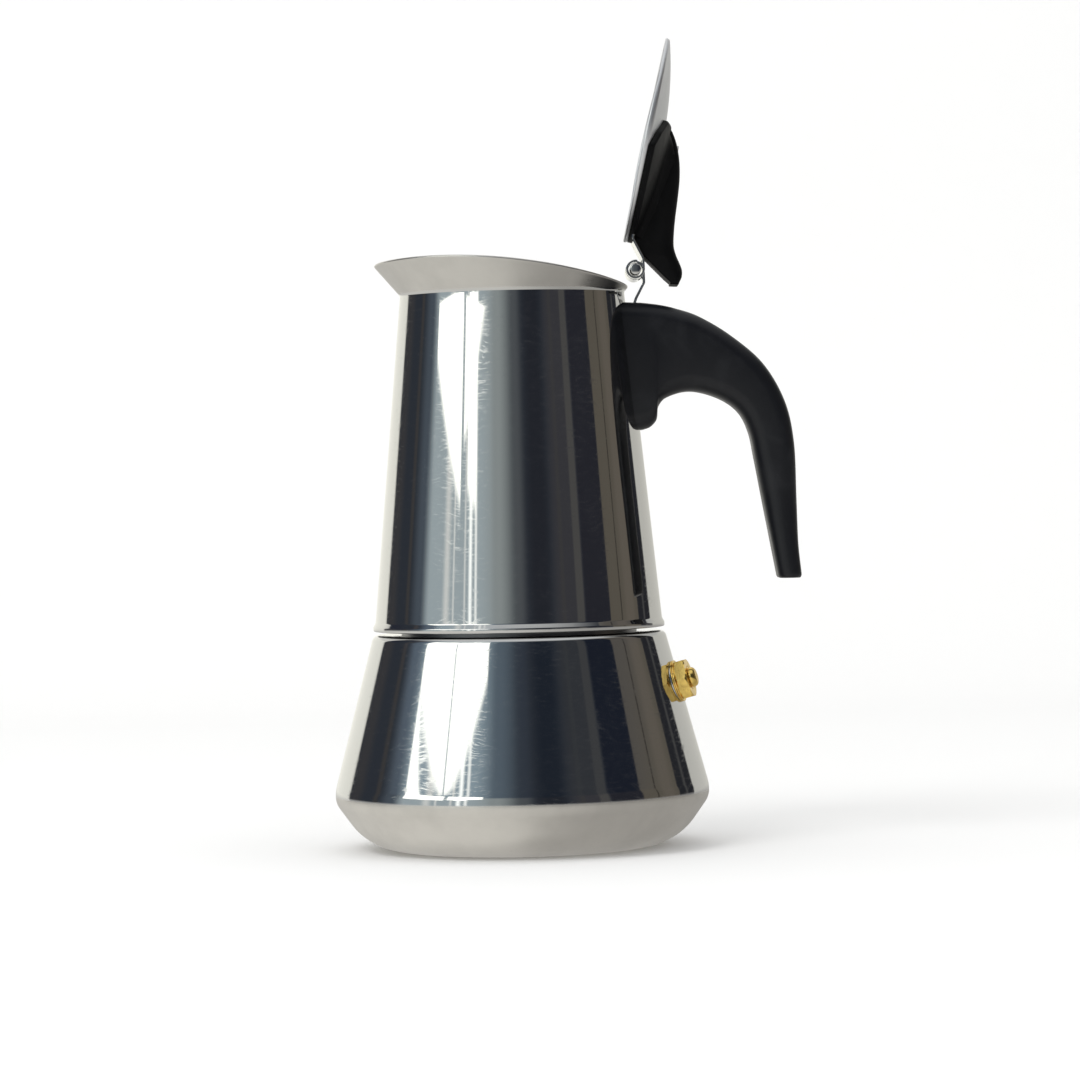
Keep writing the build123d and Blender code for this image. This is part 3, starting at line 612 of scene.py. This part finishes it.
def lidPoint(a, y, n):
    # the lid's own frame (a towards its front, n up when shut), swung open about its pin
    joint = jointOf("lid_hinge")
    pinX, _, pinZ = np.array(joint["pos_m"]) / mm
    swing = math.radians(joint["range_deg"][1])
    a, n = a - lidShape["pinA"], n - lidShape["pinN"]
    x = pinX - a * math.cos(swing) + n * math.sin(swing)
    z = pinZ + a * math.sin(swing) + n * math.cos(swing)
    return np.stack([x, y + 0 * x, z], -1)


def domeRise(distance):
    # height of the dome's outside over its rim: a cap of one sphere
    sphere = (lidShape["radius"] ** 2 + lidShape["dome"] ** 2) / (2 * lidShape["dome"])
    return np.sqrt(sphere ** 2 - distance ** 2) - sphere + lidShape["dome"]


def makeLid():
    shape = lidShape
    radius, edge, half = shape["radius"], shape["edge"], shape["wall"] / 2
    angle = np.linspace(0, 2 * np.pi, 288, endpoint=False)
    skirt = shape["droop"] * np.sin(angle) ** 2
    # middle of the sheet: the cap, a small bend, then a skirt that is deepest at the sides
    lean = shape["rimLean"]
    bend = np.linspace(0, np.pi / 2 - lean, 7)[1:]
    flat = np.linspace(0, radius - half - edge - shape["clearance"], 44)
    capR = np.concatenate([flat, flat[-1] + edge * np.sin(bend + lean) - edge * math.sin(lean)])
    capN = np.concatenate([domeRise(flat) - half,
                           domeRise(flat[-1]) - half - edge * (math.cos(lean) - np.cos(bend + lean))])
    down = np.linspace(0, 1, 5)[1:]
    rimR = np.full((4, len(angle)), capR[-1])
    drop = capN[-1] - half + skirt
    rimN = capN[-1] - down[:, None] * np.maximum(drop, 0.02)
    wide = lambda line: np.repeat(line[:, None], len(angle), 1)
    r = np.concatenate([wide(capR), rimR])
    n = np.concatenate([wide(capN), rimN])
    runR, runN = np.gradient(r, axis=0), np.gradient(n, axis=0)
    size = np.hypot(runR, runN) + 1e-9
    outR, outN = r - runN / size * half, n + runR / size * half
    inR, inN = r + runN / size * half, n - runR / size * half
    turn = np.linspace(-np.pi / 2, np.pi / 2, 6)[1:-1, None]
    noseR = r[-1] + np.sin(-turn) * half
    noseN = n[-1] - np.cos(turn) * half * 0.9
    allR = np.concatenate([outR, noseR, inR[::-1]])
    allN = np.concatenate([outN, noseN, inN[::-1]])
    grid = lidPoint(radius - allR * np.cos(angle), allR * np.sin(angle), allN)
    piece = meshFromGrids("lidDome", [(grid, False, True)], 60)
    finishPiece(piece, "lid", "satin_steel", lidSteel, "lid_shell")


hingeShape = {
    "pinRadius": 1.5, "curl": 2.2, "sheet": 0.6, "middle": 9.6, "outer": 4.6, "gap": 0.2,
    "leaf": [(11.0, 3.08), (1.6, 1.0), (-3.3, 5.1)], "head": 0.6,
    "strip": 0.8, "stripWidth": 9.6, "armLength": 19.0,
}


def curlRoute(run, centre, radius, sweep, steps=30):
    # a line that meets a circle at its nearest tangent point and then goes round it
    run = np.array(run, float)
    centre = np.array(centre, float)
    toCentre = centre - run[-1]
    distance = np.linalg.norm(toCentre)
    bearing = math.atan2(toCentre[1], toCentre[0])
    side = 1 if sweep > 0 else -1
    start = bearing + side * (math.acos(radius / distance) + np.pi)
    turn = start + np.linspace(0, sweep, steps)
    circle = centre + radius * np.stack([np.cos(turn), np.sin(turn)], 1)
    return np.vstack([run, circle])


def strip(route, low, high, sheet, place, rounding=0.12):
    # a flat strip: the route thickened to both sides, carried from one edge to the other
    rows = []
    for y, inset in [(low, rounding), (low + rounding, 0), (high - rounding, 0), (high, rounding)]:
        half = sheet / 2 - inset
        loop = np.vstack([offsetLine(route, half), offsetLine(route, -half)[::-1]])
        rows.append(place(loop[:, 0], np.full(len(loop), float(y)), loop[:, 1]))
    body = np.stack(rows, 1)
    caps = [np.stack([body[:len(route), k], body[len(route):, k][::-1]], 0) for k in (0, 3)]
    return [(body, True, False)] + [(cap, False, False) for cap in caps]


def makeHinge():
    shape = hingeShape
    pin = (lidShape["pinA"], lidShape["pinN"])
    leaf = roundedOutline([point + (radius,) for point, radius in zip(
        shape["leaf"], (0, 2.5, 0))], 9)
    whole = refined(curlRoute(leaf, pin, shape["curl"], math.radians(285)), 0.8)
    flat = refined(leaf, 0.8)
    inner = shape["middle"] / 2 + shape["gap"]
    outer = inner + shape["outer"]
    grids = strip(whole, -outer, -inner, shape["sheet"], lidPoint)
    grids += strip(whole, inner, outer, shape["sheet"], lidPoint)
    grids += strip(flat, -inner, inner, shape["sheet"], lidPoint)
    piece = meshFromGrids("lidHingeLeaf", grids, 40)
    finishPiece(piece, "lid", "hinge_steel", hingeSteel, "lid_leaf")

    pinX, _, pinZ = np.array(jointOf("lid_hinge")["pos_m"]) / mm
    wallX = boxOf("handle_bracket")[0][0] + shape["strip"] / 2
    armZ = boxOf("handle_bracket")[0][2] + shape["strip"] / 2
    handleTop = boxOf("handle")[1][2]
    run = roundedOutline([
        (wallX + shape["armLength"], armZ, 0), (wallX + 1.4, armZ, 1.0),
        (wallX + 0.6, handleTop - 4, 4.0), (pinX + 0.1, handleTop + 1.0, 5.0),
        (pinX + 2.3, pinZ - 3.4, 0),
    ], 9)
    route = refined(curlRoute(run, (pinX, pinZ), shape["curl"], math.radians(290)), 0.8)
    flatPlace = lambda x, y, z: np.stack([x, y, z], -1)
    half = shape["stripWidth"] / 2
    piece = meshFromGrids("handleStrip", strip(route, -half, half, shape["strip"] - 0.1, flatPlace), 40)
    finishPiece(piece, "pot", "hinge_steel", hingeSteel, "handle_bracket")

    reach = outer + shape["head"]
    line = roundedOutline([(0, -reach, 0), (shape["pinRadius"], -reach, 0.35),
                           (shape["pinRadius"], reach, 0.35), (0, reach, 0)], 6)
    grid, closedU, closedV = turned(line, 48)
    grid = np.stack([grid[..., 0] + pinX, grid[..., 2], grid[..., 1] + pinZ], -1)
    piece = meshFromGrids("hingePin", [(grid, closedU, closedV)])
    finishPiece(piece, "pot", "hinge_steel", hingeSteel, "hinge_pin")


def roundedSection(halfWide, halfTall, topRadius, underRadius, steps=9):
    # a rounded rectangle for each station along a loft: corner centre + radius (cos, sin)
    turn = np.linspace(0, np.pi / 2, steps)
    corners = [(1, 1, topRadius), (-1, 1, topRadius), (-1, -1, underRadius), (1, -1, underRadius)]
    ys, zs = [], []
    for quarter, (signY, signZ, radius) in enumerate(corners):
        radius = np.minimum(radius, np.minimum(halfTall, halfWide) * 0.98)[:, None]
        around = turn + quarter * np.pi / 2
        ys.append(signY * (halfWide[:, None] - radius) + radius * np.cos(around))
        zs.append(signZ * (halfTall[:, None] - radius) + radius * np.sin(around))
    return np.concatenate(ys, 1), np.concatenate(zs, 1)


def loft(top, under, halfWide, topRadius, underRadius, place):
    # stations run between matching points of the top line and the under line
    middle = (top + under) / 2
    reach = (top - under) / 2
    halfTall = np.linalg.norm(reach, axis=1)
    up = reach / halfTall[:, None]
    y, t = roundedSection(halfWide, halfTall, topRadius, underRadius)
    return place(middle[:, :1] + t * up[:, :1], y, middle[:, 1:] + t * up[:, 1:])


def roundTip(grid, along, edge, steps=6):
    # carries the last ring on by a quarter round: forward edge sin, inward edge (1 - cos)
    ring = grid[-1]
    centre = ring.mean(0)
    out = ring - centre
    size = np.linalg.norm(out, axis=1)[:, None]
    turn = np.linspace(0, np.pi / 2, steps)[1:]
    rings = [centre + out * (1 - edge * (1 - np.cos(t)) / size) + np.array(along) * edge * np.sin(t)
             for t in turn]
    return np.concatenate([grid, np.array(rings)])


def closeEnds(grid):
    # fills the first and last ring with a fan towards their middles
    ends = []
    for ring in (grid[0], grid[-1]):
        centre = ring.mean(0)
        shrink = np.linspace(1, 0, 5)[:, None, None]
        ends.append((centre + (ring - centre) * shrink, False, True))
    return [(grid, False, True)] + ends


# each row is a point of the crown (x, z) and the point of the palm side (x, z) facing it,
# measured from the handle's outer top corner: x from its reach, z from its top
handleShape = {
    "stations": [
        (-45.7, 0.0, -42.7, -34.1), (-42.3, -0.2, -40.3, -33.8), (-38.8, -0.6, -38.0, -31.6),
        (-35.8, -1.1, -37.4, -28.0), (-32.3, -2.0, -34.8, -25.4), (-26.2, -4.2, -28.7, -24.0),
        (-17.8, -9.4, -21.5, -25.9), (-9.3, -17.0, -16.2, -29.6), (-3.7, -27.0, -13.4, -35.0),
        (-1.4, -38.0, -11.9, -42.5), (-1.0, -53.0, -9.9, -54.0), (-0.8, -65.0, -7.8, -65.5),
        (-0.1, -73.3, -6.4, -73.3),
    ],
    "wallHalf": 9.65, "tipHalf": 8.0, "crownRound": 4.2, "palmRound": 4.5, "tipRound": 1.1,
    "sink": 0.15,
}


def potRadius(z):
    foot = boxOf("pot_shell")[0][2]
    lean = (potShape["foot"] - potShape["waist"]) / potShape["height"]
    return potShape["foot"] - (z - foot) * lean


def makeHandle():
    shape = handleShape
    _, high = boxOf("handle")
    rows = smoothCurve(shape["stations"], 150) + [high[0], high[2], high[0], high[2]]
    top, under = rows[:, :2], rows[:, 2:]
    middle = (top[:, 0] + under[:, 0]) / 2
    along = (middle - middle[0]) / (middle[-1] - middle[0])
    halfWide = shape["wallHalf"] + (shape["tipHalf"] - shape["wallHalf"]) * along
    full = np.ones(len(rows))
    grid = loft(top, under, halfWide, shape["crownRound"] * full, shape["palmRound"] * full,
                lambda x, y, z: np.stack([x, y, z], -1))
    # the first rings follow the pot's round wall
    wall = np.sqrt(potRadius(grid[..., 2]) ** 2 - grid[..., 1] ** 2) - shape["sink"]
    nearness = np.clip(1 - np.arange(len(rows)) / 6, 0, 1)[:, None]
    grid[..., 0] = grid[..., 0] * (1 - nearness) + wall * nearness
    grid = roundTip(grid, (0.05, 0, -1), shape["tipRound"])
    piece = meshFromGrids("handleGrip", closeEnds(grid), 40)
    finishPiece(piece, "pot", "black_handle", handleBlack, "handle")


# each row is a point of the crest (a, n) and the point of the underside facing it
knobShape = {
    "stations": [
        (-7.5, 15.9, -7.9, 13.5), (-5.8, 16.25, -7.0, 11.9), (-4.0, 15.95, -5.3, 9.3),
        (-2.4, 15.0, -3.6, 6.7), (-0.6, 13.7, -1.6, 3.8), (1.8, 12.5, 0.9, 1.9),
        (5.5, 11.8, 4.8, 1.3), (9.5, 11.35, 9.2, 2.2), (14.5, 10.95, 14.3, 2.95),
        (19.5, 10.4, 19.3, 3.5), (24.2, 9.35, 23.8, 3.8), (28.4, 7.75, 27.6, 3.9),
        (31.3, 6.0, 30.2, 3.85), (32.9, 4.5, 32.0, 3.8),
    ],
    "half": (6.6, 7.35, 7.45, 7.4, 7.0, 5.2), "crestRound": 3.6, "underRound": 0.5,
    "heelRound": 0.9, "frontRound": 0.6, "sheet": 1.6, "back": 0.6, "front": 33.0, "blend": 3.0,
    "cornerA": (23.5, 29.0, 33.0), "cornerY": (29.0, 22.9, 15.0), "skirtEdge": 0.6,
    "blendStart": 6.8, "blendWidth": 3.6, "blendPower": 2.4, "crestMargin": 1.2, "backGap": 0.02,
}


def knobSkirt():
    # a shell on the dome's rear: its outline is a circle with a blunt front, and its top is
    # dome + sheet - rounding + swell * closeness ^ blendPower, so that it sweeps up to the fin
    shape = knobShape
    radius = lidShape["radius"]
    step = (1 - np.cos(np.linspace(0, np.pi, 90))) / 2
    start = shape["back"] + shape["backGap"]
    a = start + (shape["front"] - start) * step
    circle = np.sqrt(np.maximum((radius - shape["back"]) ** 2 - (a - radius) ** 2, 0))
    half = np.minimum(circle, np.interp(a, shape["cornerA"], shape["cornerY"]))[:, None]
    v = np.sin(np.linspace(-np.pi / 2, np.pi / 2, 91))
    y = half * v
    a = a[:, None] + 0 * y
    dome = domeRise(np.hypot(a - radius, y))
    inward = np.minimum(half - np.abs(y), shape["front"] - a)
    rounding = np.clip(1 - inward / shape["skirtEdge"], 0, 1) ** 2 * shape["skirtEdge"]
    rows = smoothCurve(shape["stations"], 110)
    crest = np.interp(a, rows[:, 0], rows[:, 1])
    swell = np.clip(crest - dome - shape["sheet"] - shape["crestMargin"], 0, shape["blend"])
    closeness = np.clip(1 - (np.abs(y) - shape["blendStart"]) / shape["blendWidth"], 0, 1)
    top = dome + shape["sheet"] - rounding + swell * closeness ** shape["blendPower"]
    under = dome + 0.05
    around = np.stack([np.concatenate([a, a[:, ::-1]], 1), np.concatenate([y, y[:, ::-1]], 1),
                       np.concatenate([top, under[:, ::-1]], 1)], -1)
    return closeEnds(lidPoint(around[..., 0], around[..., 1], around[..., 2]))


def makeKnob():
    shape = knobShape
    rows = smoothCurve(shape["stations"], 110)
    along = np.linspace(0, 1, len(rows))
    halfWide = np.interp(along, np.linspace(0, 1, len(shape["half"])), shape["half"])
    full = np.ones(len(rows))
    grid = loft(rows[:, :2], rows[:, 2:], halfWide, shape["crestRound"] * full,
                shape["underRound"] * full, lambda a, y, n: np.stack([a, y, n], -1))
    grid = roundTip(grid, (0.75, 0, -0.2), shape["frontRound"])
    grid = roundTip(grid[::-1], (-0.62, 0, 0.0), shape["heelRound"])[::-1]
    fin = closeEnds(lidPoint(grid[..., 0], grid[..., 1], grid[..., 2]))
    piece = meshFromGrids("lidFinKnob", fin + knobSkirt(), 40)
    finishPiece(piece, "lid", "black_knob", knobBlack, "lid_knob")


def makeStage():
    # a pale sweep under and behind the pot, flat below and rising at the back, that steel doesn't mirror
    back, rise, bend = 900.0, 1400.0, 250.0
    line = roundedOutline([(-2600, 0, 0), (back, 0, bend), (back, rise, 0)], 16)
    x = np.array([-2600.0, 2600.0])
    grid = np.stack([x[None, :] + 0 * line[:, :1], line[:, :1] + 0 * x,
                     line[:, 1:] - 0.05 + 0 * x], -1)
    sweep = meshFromGrids("tableSweep", [(grid, False, False)], 60)
    sweep.visible_glossy = False
    sweep.data.materials.append(paleTable)


def makeCamera():
    camera = bpy.data.objects.new("camera", bpy.data.cameras.new("camera"))
    bpy.context.collection.objects.link(camera)
    place = np.array([6.0, -1053.0, 92.0]) * mm
    aim = np.array([6.1, 0.0, 82.0]) * mm
    look = Vector(aim - place)
    turn = look.to_track_quat("-Z", "Y")
    roll = Quaternion((0, 0, 1), math.radians(-1.2))
    camera.rotation_mode = "QUATERNION"
    camera.location = Vector(place)
    camera.rotation_quaternion = turn @ roll
    camera.data.sensor_width = 36
    camera.data.lens = 131
    camera.data.clip_start = 0.01
    bpy.context.scene.camera = camera


# the studio as polished steel sees it: upright cards round the pot, laid over each other in
# this order; each has its left and right edge in degrees from the front towards +X, how soft
# both edges are, its brightness near the horizon, and its brightness higher up
studio = {
    "dark": (0.036, 0.043, 0.056), "table": (0.80, 0.79, 0.75), "tableShade": (0.45, 0.44, 0.42),
    "ceiling": (0.75, 0.76, 0.76), "window": (2.3, 2.3, 2.15), "plain": 1.0, "high": (15.0, 19.5),
}
studioCards = [
    ("wallBehindLeft", -200, -133, 1.2, (1.04, 1.03, 0.94), (0.82, 0.81, 0.76)),
    ("windowFrame", -132, -118, 5, (0.055, 0.055, 0.060), (0.030, 0.034, 0.050)),
    ("frameEdge", -104, -100, 1.5, (0.062, 0.060, 0.060), (0.075, 0.072, 0.076)),
    ("curtain", -95, -80, 6, (0.090, 0.112, 0.140), (0.14, 0.18, 0.23)),
    ("wallByWindow", -82, -18, 5, (0.46, 0.54, 0.57), (0.36, 0.46, 0.52)),
    ("wallEnd", -24, -6, 11, (0.36, 0.40, 0.40), (0.13, 0.17, 0.21)),
    ("cupboard", -1, 5, 6, (0.12, 0.13, 0.14), (0.048, 0.060, 0.082)),
    ("gap", 10, 28, 6, (0.024, 0.027, 0.036), (0.018, 0.024, 0.036)),
    ("shelfBack", 31, 56, 5, (0.054, 0.054, 0.062), (0.044, 0.048, 0.056)),
    ("shelfLine", 36, 39, 0.8, (0.060, 0.059, 0.062), (0.050, 0.054, 0.060)),
    ("shelf", 48.5, 55, 0.8, (0.092, 0.090, 0.088), (0.066, 0.068, 0.072)),
    ("post", 56, 80, 1.2, (0.026, 0.027, 0.036), (0.015, 0.019, 0.031)),
    ("door", 79.7, 113, 0.7, (0.135, 0.120, 0.097), (0.120, 0.110, 0.098)),
    ("doorJoint", 91.6, 92.6, 0.5, (0.045, 0.040, 0.034), (0.040, 0.036, 0.034)),
    ("doorPanel", 97, 108, 3, (0.160, 0.140, 0.115), (0.150, 0.133, 0.115)),
    ("crack", 113, 132, 0.8, (0.026, 0.027, 0.032), (0.042, 0.045, 0.052)),
    ("crackLight", 120.5, 123, 1.0, (0.08, 0.08, 0.08), (0.13, 0.13, 0.13)),
    ("wallRight", 131.5, 200, 1.0, (0.66, 0.65, 0.60), (0.56, 0.56, 0.54)),
    ("screenBehind", 172, 200, 6, (1.0, 1.0, 0.95), (0.80, 0.80, 0.77)),
]
# upright bars of light below the panes: middle, half width and brightness
windowBars = [(-61, 2.4, 0.85), (-54.5, 0.7, 0.9), (-44.5, 0.7, 0.9), (-39.6, 1.2, 1.6), (-34.9, 0.9, 1.3)]
# each pane's left and right edge, how high its foot is at both, and how high its head is
windowPanes = [
    (-79.0, -49.8, 10.5, 9.9, 20.0), (-47.4, -24.5, 10.9, 13.9, 20.0),
    (-43.3, -35.0, 10.4, 10.4, 20.0), (-79.5, -52.2, 20.2, 22.3, 37.0),
    (-51.2, -24.5, 22.4, 26.5, 37.0),
]


def makeWorld():
    world = bpy.data.worlds.new("studio")
    bpy.context.scene.world = world
    world.use_nodes = True
    tree = world.node_tree
    coordinate = tree.nodes.new("ShaderNodeTexCoord")
    split = tree.nodes.new("ShaderNodeSeparateXYZ")
    tree.links.new(coordinate.outputs["Generated"], split.inputs["Vector"])
    x, y, z = (split.outputs[k] for k in "XYZ")
    heading = combine(tree, "ARCTAN2", x, combine(tree, "MULTIPLY", y, -1.0))
    azimuth = combine(tree, "MULTIPLY", heading, 180 / math.pi)
    rise = combine(tree, "MULTIPLY", combine(tree, "ARCSINE", z, 0), 180 / math.pi)
    upper = remap(tree, rise, *studio["high"], 0, 1, True)

    def between(value, left, right, soft):
        # 1 from the left edge to the right edge, with a smooth step over each
        enter = remap(tree, combine(tree, "SUBTRACT", value, left), -soft, soft, 0, 1, True)
        leave = remap(tree, combine(tree, "SUBTRACT", value, right), -soft, soft, 1, 0, True)
        return combine(tree, "MULTIPLY", enter, leave)

    lit = studio["dark"]
    for _, left, right, soft, low, high in studioCards:
        card = blendColours(tree, upper, low, high)
        lit = blendColours(tree, between(azimuth, left, right, soft), lit, card)
    for middle, half, bright in windowBars:
        bar = between(azimuth, middle - half, middle + half, half)
        lit = blendColours(tree, bar, lit, (bright, bright * 1.03, bright))
    for left, right, footLeft, footRight, head in windowPanes:
        foot = remap(tree, azimuth, left, right, footLeft, footRight)
        glass = remap(tree, combine(tree, "SUBTRACT", rise, foot), -0.2, 0.2, 0, 1, True)
        glass = combine(tree, "MULTIPLY", glass, remap(tree, rise, head, head + 0.4, 1, 0, True))
        glass = combine(tree, "MULTIPLY", glass, between(azimuth, left, right, 0.7))
        lit = blendColours(tree, glass, lit, studio["window"])
    lit = blendColours(tree, remap(tree, rise, 38, 58, 0, 1, True), lit, studio["ceiling"])
    # below the horizon steel mirrors a pale table; outside -170 to 20 degrees it is darker, painted shade where
    # the pot's shadow falls to the right and back
    table = blendColours(tree, between(azimuth, -170, 20, 50), studio["tableShade"], studio["table"])
    lit = blendColours(tree, remap(tree, rise, -5, -1, 1, 0, True), lit, table)
    path = tree.nodes.new("ShaderNodeLightPath")
    seen = blendColours(tree, path.outputs["Is Glossy Ray"], (studio["plain"],) * 3, lit)
    tree.links.new(seen, tree.nodes["Background"].inputs["Color"])


def softbox(name, place, aim, size, power):
    lamp = bpy.data.lights.new(name, "AREA")
    lamp.shape = "RECTANGLE"
    lamp.size, lamp.size_y = size
    lamp.energy = power
    light = bpy.data.objects.new(name, lamp)
    light.location = place
    light.rotation_mode = "QUATERNION"
    light.rotation_quaternion = (Vector(aim) - Vector(place)).to_track_quat("-Z", "Y")
    light.visible_glossy = False
    bpy.context.collection.objects.link(light)


nodeMaterials = {
    "inner_steel": innerSteel, "satin_steel": lidSteel, "polished_steel": boilerSteel,
    "hinge_steel": hingeSteel, "spring_steel": hingeSteel, "screw_steel": screwSteel,
    "black_handle": handleBlack, "black_knob": knobBlack, "valve_brass": valveBrass,
    "silicone": whiteSilicone,
}


def dressFrame():
    # every carried-over CAD node gets the material of its slot; the threads lie in the seam's
    # shade, so they get a darker steel with that shade painted into its colour
    slots = {part["node"]: part["material_slot"] for part in frame["record"]["subparts"]}
    for node, piece in frame["nodes"].items():
        for place in piece.material_slots:
            place.material = nodeMaterials[slots[node]]
            if node in ("boiler_neck", "pot_collar"):
                place.material = seamShadeSteel


dressFrame()
print("frame dressed")
makeBoiler()
makeValve()
makePot()
print("metal made")
makeLid()
makeHinge()
makeHandle()
makeKnob()
print("lid and handle made")
makeStage()
makeCamera()
makeWorld()
softbox("keyLight", (-0.5, -0.6, 0.9), (0, 0, 0.1), (0.5, 0.4), 3.0)
bpy.context.scene.view_settings.view_transform = "Standard"
